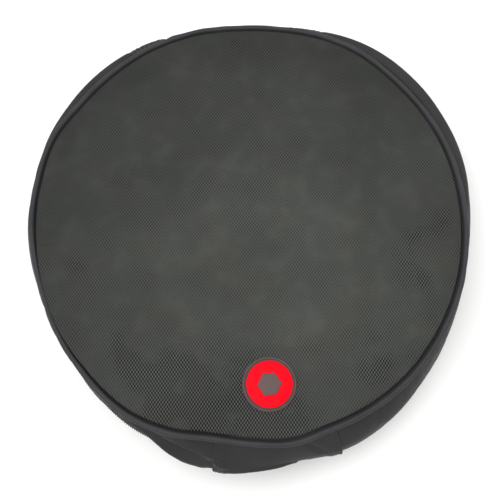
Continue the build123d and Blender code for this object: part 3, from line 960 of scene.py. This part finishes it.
class BuildPiping(bpy.types.Operator):
    """Build the two corded piping rings and the bound seams inside the corners"""

    bl_idname = "drum_bag.piping"
    bl_label = "Piping and bindings"

    def execute(self, context):
        turn = np.linspace(0, 2 * np.pi, 20, endpoint=False)
        bearing = np.linspace(0, 360, sizes().round_steps, endpoint=False)[:, None]
        pipes = (("face", "lid", bag_depth - piping_radius, 1), ("back", "base", piping_radius, -1))
        for node, body, height, side in pipes:
            shift, drop = 0 * bearing, 0 * bearing
            if node == "face":
                drop = 0.6 * hills(bearing, PIPING_TUCKS)
                shift = hills(bearing, SEAM_HILLS) - hills(bearing, PIPING_TUCKS)
                drop = drop - 0.12 * MM * wave(bearing, 23) - 0.1 * MM * wave(bearing, 41, 1)
            thick = piping_radius * (1 + 0.03 * wave(bearing, 57) + 0.03 * wave(bearing, 31, 2))
            # The cord's cover turns in at the seam side as a thin flange.
            inward = hill(away(np.degrees(turn), 180 + 27 * side), 24)[None, :]
            radius = piping_ring + shift + thick * np.cos(turn) - 2.0 * MM * inward
            level = height - drop + thick * np.sin(turn) - side * 2.2 * MM * inward
            self.ring(f"{node}_piping_cord", body, "piping", f"{node}_piping", piping_ring,
                      polar(bearing, radius, np.maximum(level, 0.02 * MM)))
        for node, body in (("face_seam_binding", "lid"), ("back_seam_binding", "base")):
            low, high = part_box(node)
            thick = (high.z - low.z) / 2
            ring_radius = high.x - thick
            twist = 1 + 0.10 * wave(bearing, 19) + 0.06 * wave(bearing, 37, 1)
            thick = thick * 0.95 * np.minimum(twist, 1.05)
            oval = np.where(np.cos(turn) > 0, 1.0, 0.8)[None, :]
            radius = ring_radius + thick * np.cos(turn) * oval
            level = (low.z + high.z) / 2 + thick * np.sin(turn)
            self.ring(f"{node}_tape", body, "binding", node, ring_radius,
                      polar(bearing, radius, level))
        return {"FINISHED"}

    def ring(self, name, body, slot, node, radius, sections):
        """A closed ring of cloth, with its weave laid along it."""
        along = np.linspace(0, 2 * np.pi * radius, len(sections) + 1)
        place(finished(name, *skin(sections, True, along)), body, slot, node)


# ---- zip ----
def slider_places():
    """Bearing of each parked slider, from its own box in the frame."""
    found = {}
    for name in ("right", "left"):
        low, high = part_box(f"slider_{name}_body")
        found[name] = math.degrees(math.atan2(low.y + high.y, low.x + high.x))
    return found


class BuildZip(bpy.types.Operator):
    """Build the zip's two rows of coiled teeth, and finish its stops and sliders"""

    bl_idname = "drum_bag.zip"
    bl_label = "Zip"

    def execute(self, context):
        size = sizes()
        posts = [bearing + side * math.degrees(4.5 * MM / coil_out)
                 for bearing, side in zip(slider_places().values(), (1, -1))]
        start, end = SPINE + coil_end, SPINE + 360 - coil_end
        middle_radius = coil_out - coil_thickness / 2
        turns = int(math.radians(end - start) * middle_radius / size.tooth_pitch)
        per_turn, sides = 10, 6
        for half, side, phase in (("base", -1, 0), ("lid", 1, 0.5)):
            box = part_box(f"{half}_zip_coil")
            reach = box[1].z - box[0].z
            inner = box[0].z if side > 0 else box[1].z
            step = np.arange(turns * per_turn + 1)
            angle = step * 2 * np.pi / per_turn
            bearing = start + (end - start) * (step / per_turn) / turns
            # Each turn is a flat loop that leans over its neighbour and heads towards the other row.
            wire = size.monofilament
            swing = (coil_thickness / 2 - wire) * np.sin(angle)
            depth = reach / 2 - wire
            level = (1 - np.cos(angle)) * depth + wire
            for post in posts:
                near = 1 - ramp(np.abs(away(bearing, post)) * math.radians(1) * coil_out, 1.7 * MM, 2.6 * MM)
                level = level * (1 - near) + np.maximum(level, 2.0 * MM) * near
            one_turn = math.degrees(size.tooth_pitch / middle_radius)
            lean = 0.25 * (1 - np.cos(angle)) * one_turn * (phase - 0.25)
            shift = wall_shift(bearing, zip_height)
            path = polar(bearing + lean, middle_radius + swing + shift, inner + side * level)
            tangent = unit(np.gradient(path, axis=0))
            upward = np.array((0, 0, 1.0)) - tangent * tangent[:, 2:]
            upward /= np.maximum(np.linalg.norm(upward, axis=1, keepdims=True), 1e-6)
            across = np.cross(tangent, upward)
            ring = np.arange(sides) * 2 * np.pi / sides
            sections = (path[:, None] + wire * (across[:, None] * np.cos(ring)[:, None]
                        + upward[:, None] * np.sin(ring)[:, None]))
            coil = finished(f"{half}_zip_teeth", *skin(sections, False)[:2], sharp=80)
            place(coil, half, "zip_coil", f"{half}_zip_coil")
        for half in ("base", "lid"):
            low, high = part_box(f"{half}_zip_stops")
            crimps = [self.crimp(SPINE + side * stop_middle, (low.z + high.z) / 2, (high.z - low.z) / 2)
                      for side in (-1, 1)]
            points, faces, _ = joined(crimps)
            pair = finished(f"{half}_zip_stop_pair", points, faces, sharp=70)
            place(pair, half, "slider_metal", f"{half}_zip_stops")
        for name in ("right", "left"):
            dress(f"slider_{name}_body", "slider_metal")
            dress(f"slider_{name}_puller", "slider_metal")
            dress(f"slider_{name}_grip", "grip_rubber")
        return {"FINISHED"}

    def crimp(self, bearing, height, half_tall):
        """Skin of a pressed metal stop: a rounded block with a dent across its middle."""
        along = np.linspace(-1, 1, 13)
        x, y = rounded_square(24, 0.4)
        round_off = (1 - np.abs(along) ** 6)[:, None] * 0.25 + 0.75
        dent = 1 - 0.18 * hill(along, 0.5)[:, None]
        middle = coil_out - coil_thickness / 2 + wall_shift(bearing, zip_height)
        radius = middle + x * round_off * dent * coil_thickness * 0.55
        turned = bearing + along[:, None] * stop_half + 0 * radius
        return skin(polar(turned, radius, height + y * round_off * half_tall), False)


def dress(node, slot):
    """Give a CAD node the material of a slot and soften its edges."""
    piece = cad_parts[node]
    for part in piece.material_slots:
        part.material = material_of(slot)
    soft = piece.modifiers.new("edge", "BEVEL")
    soft.width, soft.segments, soft.limit_method = 0.15 * MM, 2, "ANGLE"
    soft.angle_limit = math.radians(50)


# ---- handle ----
STRAP_WIDTH = 18.0 * MM
STRAP_THICKNESS = 2.0 * MM
GRIP_WALL = 1.6 * MM        # the grip's rubber outside the strap
PATCH_WIDTH = 26.6 * MM
PATCH_INSET = 2.4 * MM      # from the edge of a patch to its box of stitches


class BuildHandle(bpy.types.Operator):
    """Build the carry handle: webbing loop, padded grip and the two sewn patches"""

    bl_idname = "drum_bag.handle"
    bl_label = "Handle"

    def execute(self, context):
        low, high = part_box("handle_webbing")
        grip_low, grip_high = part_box("handle_grip")
        outer = high.y
        middle = outer - STRAP_THICKNESS / 2
        span = (high.x - low.x - STRAP_WIDTH) / 2
        grip_level = (grip_low.z + grip_high.z) / 2
        corner = (span - 15 * MM, grip_level)
        points = np.array([(-span, high.z), (-span, high.z - 6 * MM), (-corner[0], corner[1]),
                           (corner[0], corner[1]), (span, high.z - 6 * MM), (span, high.z)])
        for _ in range(4):
            this, following = points[:-1], points[1:]
            inner = np.stack((this * 0.75 + following * 0.25, this * 0.25 + following * 0.75), 1)
            points = np.concatenate((points[:1], inner.reshape(-1, 2), points[-1:]))
        steps = np.concatenate(([0], np.cumsum(np.linalg.norm(np.diff(points, axis=0), axis=1))))
        far = np.linspace(0, steps[-1], 240)
        path = np.stack((np.interp(far, steps, points[:, 0]), np.interp(far, steps, points[:, 1])), -1)
        run = unit(np.gradient(path, axis=0))
        across = np.stack((-run[:, 1], run[:, 0]), -1)
        share = np.array((-1, -0.96, -0.7, -0.35, 0, 0.35, 0.7, 0.96, 1))
        full = np.array((0.35, 0.85, 1, 1, 1, 1, 1, 0.85, 0.35)) * STRAP_THICKNESS / 2
        flat = path[:, None] + across[:, None] * (share * STRAP_WIDTH / 2 * 0.985)[:, None]
        # The strap is laid round the bag, so its place along the wall keeps its straight-line x.
        bearing = HANDLE - np.degrees(np.arcsin(np.clip(flat[..., 0] / middle, -1, 1)))
        height = np.clip(flat[..., 1], low.z, high.z)
        out, back = (polar(bearing, middle + side * full, height) for side in (1, -1))
        strap = finished("handle_strap", *slab(out, back))
        place(strap, "handle", "webbing", "handle_webbing")

        grip_half = math.degrees(math.asin(grip_high.x / grip_high.y))
        turned = np.linspace(HANDLE - grip_half, HANDLE + grip_half, 121)[:, None]
        round_x, round_y = rounded_square(40, 0.35)
        thick = STRAP_THICKNESS / 2 + GRIP_WALL
        tall = (grip_high.z - grip_low.z) / 2
        end = np.radians(grip_half - np.abs(turned - HANDLE)) * outer
        ribs = 0.25 * MM * np.cos(end * 2 * np.pi / (3.4 * MM)) * ramp(end, 5 * MM, 7 * MM)
        taper = 1 - ramp(end, 0, 1.2 * MM)
        radius = middle + (thick - 0.3 * MM + ribs) * (1 - 0.22 * taper) * round_x
        level = grip_level + (tall - 0.3 * MM + 0.5 * ribs) * (1 - 0.06 * taper) * round_y
        grip = finished("handle_grip_sleeve", *skin(polar(turned, radius, level), False))
        place(grip, "handle", "grip_rubber", "handle_grip")

        patch_low, patch_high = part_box("handle_patches")
        seat = patch_high.y
        middle_bearing = math.degrees(math.asin((patch_high.x - PATCH_WIDTH / 2) / seat))
        half = math.degrees(PATCH_WIDTH / 2 / seat)
        tall = (patch_high.z - patch_low.z) / 2
        mid = (patch_high.z + patch_low.z) / 2
        across = np.linspace(-1, 1, 61)[:, None]
        upward = np.linspace(-1, 1, 33)[None, :]
        u, v = across * PATCH_WIDTH / 2, upward * tall
        edge = np.minimum(PATCH_WIDTH / 2 - np.abs(u), tall - np.abs(v))
        inset_u, inset_v = PATCH_WIDTH / 2 - PATCH_INSET, tall - PATCH_INSET
        # The stitches pull the strap down along a box and along its two diagonals.
        box_line = np.abs(np.maximum(np.abs(u) / inset_u, np.abs(v) / inset_v) - 1) * inset_v
        cross_line = np.abs(np.abs(u) * inset_v - np.abs(v) * inset_u) / math.hypot(inset_u, inset_v)
        cross = hill(cross_line, 1.3 * MM) * (edge > 2 * MM)
        sunk = 0.55 * MM * np.maximum(hill(box_line, 1.3 * MM), cross)
        swell = PATCH_DEPTH * ramp(edge, -1.2 * MM, PATCH_INSET) - sunk
        lines = (((-1, -1), (1, -1), (1, 1), (-1, 1), (-1, -1)), ((-1, -1), (1, 1)), ((-1, 1), (1, -1)))
        share = np.linspace(0.04, 0.96, 40)[:, None]
        stitch_rows, patches = [], []
        for side in (-1, 1):
            centre = HANDLE + side * middle_bearing
            out, back = (wall_place(centre + across * half + 0 * v, mid + v + 0 * u, 0.3 * MM + thick)
                         for thick in (swell, 0 * swell))
            patches.append(slab(out, back))
            for line in lines:
                for a, b in zip(line[:-1], line[1:]):
                    at = a + np.subtract(b, a) * share
                    turned = centre + at[:, 0] * inset_u / (PATCH_WIDTH / 2) * half
                    stitch_rows.append(on_wall(turned, mid + at[:, 1] * inset_v, PATCH_DEPTH - 0.15 * MM))
        place(finished("handle_patch_pair", *joined(patches)), "lid", "webbing", "handle_patches")
        sew("patch_stitching", "lid", stitch_rows, "webbing")
        return {"FINISHED"}


# ---- badge ----
class BuildBadge(bpy.types.Operator):
    """Build the moulded badge: a rim with a groove, a coloured field and a plain six-sided mark"""

    bl_idname = "drum_bag.badge"
    bl_label = "Badge"

    def execute(self, context):
        base, top = badge_low.z, badge_high.z
        field_low, field_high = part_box("badge_inlay")
        mark_low, mark_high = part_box("badge_boss")
        rim_out, rim_in = badge_radius, (field_high.x - field_low.x) / 2
        rim = rim_out - rim_in
        turn = np.linspace(0, 360, 192, endpoint=False)[:, None]

        def ring(name, profile, slot, node):
            profile = np.array(profile)
            sections = polar(turn, profile[:, 0], profile[:, 1]) + np.array((0, badge_middle.y, 0))
            place(finished(name, *skin(sections, True)[:2], sharp=55), "lid", slot, node)

        # Section of the base, from its middle under the field, round the rim, and back.
        crown = [(rim_in + rim * s, top - h * MM) for s, h in (
            (0.02, 0.55), (0.10, 0.32), (0.20, 0.30), (0.27, 0.5), (0.33, 0.72), (0.41, 0.62),
            (0.50, 0.25), (0.62, 0.04), (0.74, 0), (0.86, 0.10), (0.95, 0.42), (1.0, 0.9))]
        floor = field_low.z
        profile = [(0.3 * MM, floor), (rim_in * 0.5, floor), (rim_in - 0.05 * MM, floor), *crown,
                   (rim_out, base + 0.25 * MM), (rim_out + 0.35 * MM, base + 0.05 * MM),
                   (rim_out - 0.2 * MM, base), (rim_in * 0.8, base), (rim_in * 0.5, base),
                   (0.3 * MM, base)]
        ring("badge_rim_base", profile, "badge_rubber", "badge_base")
        high, under = field_high.z, floor + 0.02 * MM
        profile = [(0.3 * MM, high), (rim_in * 0.6, high), (rim_in - 0.8 * MM, high),
                   (rim_in - 0.25 * MM, high - 0.06 * MM), (rim_in - 0.02 * MM, high - 0.25 * MM),
                   (rim_in - 0.02 * MM, under), (rim_in * 0.6, under), (0.3 * MM, under)]
        ring("badge_red_field", profile, "badge_colour", "badge_inlay")
        # The mark is a plain six-sided boss with softened corners.
        reach = (mark_high.x - mark_low.x) / 2
        sides = 6
        corner = np.radians(np.arange(0, 360, 1.5))
        sector = (np.degrees(corner) % (360 / sides)) - 180 / sides
        outline = reach * math.cos(math.pi / sides) / np.cos(np.radians(sector))
        outline = np.minimum(outline, reach * 0.985)
        layers = ((1.0, mark_low.z), (1.0, mark_high.z - 0.2 * MM), (0.975, mark_high.z - 0.05 * MM),
                  (0.93, mark_high.z), (0.5, mark_high.z), (0.02, mark_high.z),
                  (0.02, mark_low.z), (0.5, mark_low.z))
        sections = np.stack([polar(np.degrees(corner), outline * s, h) for s, h in layers], 1)
        sections += np.array((0, badge_middle.y, 0))
        mark = finished("badge_hexagon_mark", *skin(sections, True)[:2], sharp=50)
        place(mark, "lid", "badge_rubber", "badge_boss")
        return {"FINISHED"}


# ---- stage ----
def aim(item, at, direction):
    """Put a camera or a light at a place, looking along a direction."""
    in_scene(item)
    item.location = at
    item.rotation_mode = "QUATERNION"
    item.rotation_quaternion = direction.to_track_quat("-Z", "Y")


class BuildStage(bpy.types.Operator):
    """Set the camera, the pale floor and the soft studio lights"""

    bl_idname = "drum_bag.stage"
    bl_label = "Stage"

    def execute(self, context):
        scene = context.scene
        azimuth, elevation, distance = math.radians(view_azimuth), math.radians(72.2), 0.430
        back = Vector((math.sin(azimuth) * math.cos(elevation), -math.cos(azimuth) * math.cos(elevation),
                       math.sin(elevation)))
        right = Vector((math.cos(azimuth), math.sin(azimuth), 0))
        up = back.cross(right)
        data = bpy.data.cameras.new("studio_camera")
        data.lens, data.sensor_width = sizes().lens, 36
        data.clip_start, data.clip_end = 0.01, 50
        camera = bpy.data.objects.new("studio_camera", data)
        # It looks a little beside and below the middle of the front.
        aim(camera, Vector((0, 0, bag_depth - MM)) + back * distance,
            -back + right * 0.0020 - up * 0.0507)
        scene.camera = camera

        half = 3.0
        corners = [(-half, -half, 0), (half, -half, 0), (half, half, 0), (-half, half, 0)]
        floor = finished("studio_floor", corners, [(0, 1, 2, 3)])
        floor.data.materials.append(material_of("floor"))

        strength = sizes().light
        lamps = (("key", (-0.35, -0.10, 1.2), 1.1, 14.0), ("fill", (0.75, 0.45, 0.9), 1.0, 5.0))
        for name, at, wide, watts in lamps:
            lamp = bpy.data.lights.new(f"{name}_softbox", "AREA")
            lamp.shape, lamp.size, lamp.energy = "DISK", wide, watts * strength
            aim(bpy.data.objects.new(f"{name}_softbox", lamp), at, -Vector(at))
        world = bpy.data.worlds.new("studio_world")
        world.use_nodes = True
        world.node_tree.nodes["Background"].inputs[0].default_value = (1, 1, 1, 1)
        world.node_tree.nodes["Background"].inputs[1].default_value = 0.5 * strength
        scene.world = world
        scene.view_settings.view_transform = "Standard"
        return {"FINISHED"}


class DrumBagPanel(bpy.types.Panel):
    """The bag's pieces, sizes and colours in the 3D view's sidebar"""

    bl_idname = "VIEW3D_PT_drum_bag"
    bl_label = "Drum bag"
    bl_space_type = "VIEW_3D"
    bl_region_type = "UI"
    bl_category = "Drum bag"

    def draw(self, context):
        layout = self.layout
        for operator in BUILDERS:
            layout.operator(operator.bl_idname)
        for group in (context.scene.drum_bag_sizes, context.scene.drum_bag_colours):
            column = layout.column()
            for name in type(group).__annotations__:
                column.prop(group, name)


BUILDERS = (BuildStage, BuildFront, BuildBack, BuildPiping, BuildWall, BuildSpine, BuildZip,
            BuildHandle, BuildBadge)
CLASSES = (BagSizes, BagColours, *BUILDERS, DrumBagPanel)


def register():
    for each in CLASSES:
        bpy.utils.register_class(each)
    bpy.types.Scene.drum_bag_sizes = PointerProperty(type=BagSizes)
    bpy.types.Scene.drum_bag_colours = PointerProperty(type=BagColours)


def unregister():
    del bpy.types.Scene.drum_bag_colours
    del bpy.types.Scene.drum_bag_sizes
    for each in reversed(CLASSES):
        bpy.utils.unregister_class(each)


def main():
    register()
    for operator in BUILDERS:
        group, name = operator.bl_idname.split(".")
        getattr(getattr(bpy.ops, group), name)()


if __name__ == "__main__":
    main()
